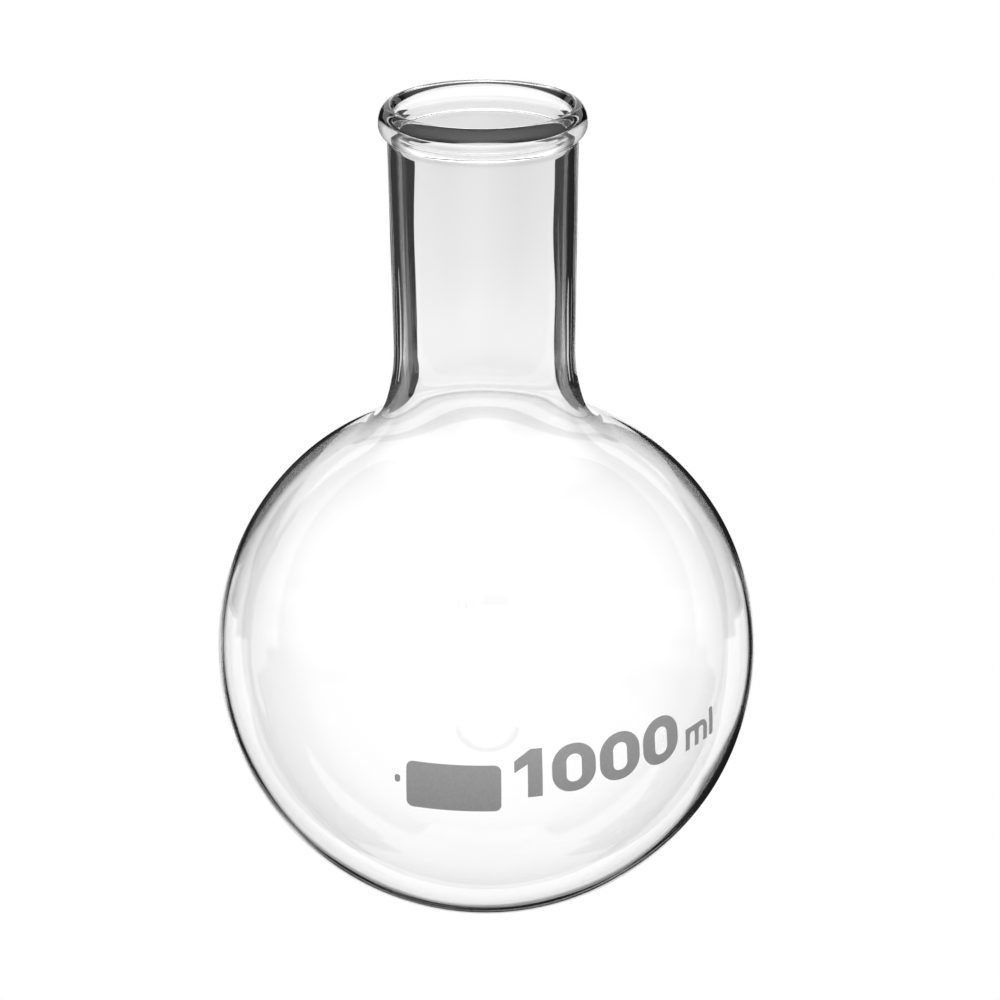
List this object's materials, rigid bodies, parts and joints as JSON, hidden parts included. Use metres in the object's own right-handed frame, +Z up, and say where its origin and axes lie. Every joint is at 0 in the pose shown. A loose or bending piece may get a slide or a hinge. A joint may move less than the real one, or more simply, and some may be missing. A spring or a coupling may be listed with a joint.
{
  "type": "round-bottom boiling flask",
  "caption": "Thin-walled borosilicate glass flask: a full spherical bulb, a straight narrow neck with a rounded beaded rim, and a fired capacity mark.",
  "frame": {"origin": "lowest point of the bulb's outside, on the flask's axis", "axes": "+Z up the axis of the neck, -Y towards the middle of the printed capacity mark, +X to its reader's right"},
  "size_m": [0.1308, 0.1315, 0.1996],
  "materials": {
    "borosilicate_glass": "clear, colourless, fire-polished",
    "enamel_print": "fired grey enamel, satin, slightly grainy"
  },
  "bodies": {
    "root": {"flask_body": "borosilicate_glass", "marking_patch": "enamel_print", "register_dot": "enamel_print", "digit_1": "enamel_print", "digit_0_a": "enamel_print", "digit_0_b": "enamel_print", "digit_0_c": "enamel_print", "letter_m": "enamel_print", "letter_l": "enamel_print"}
  },
  "joints": []
}
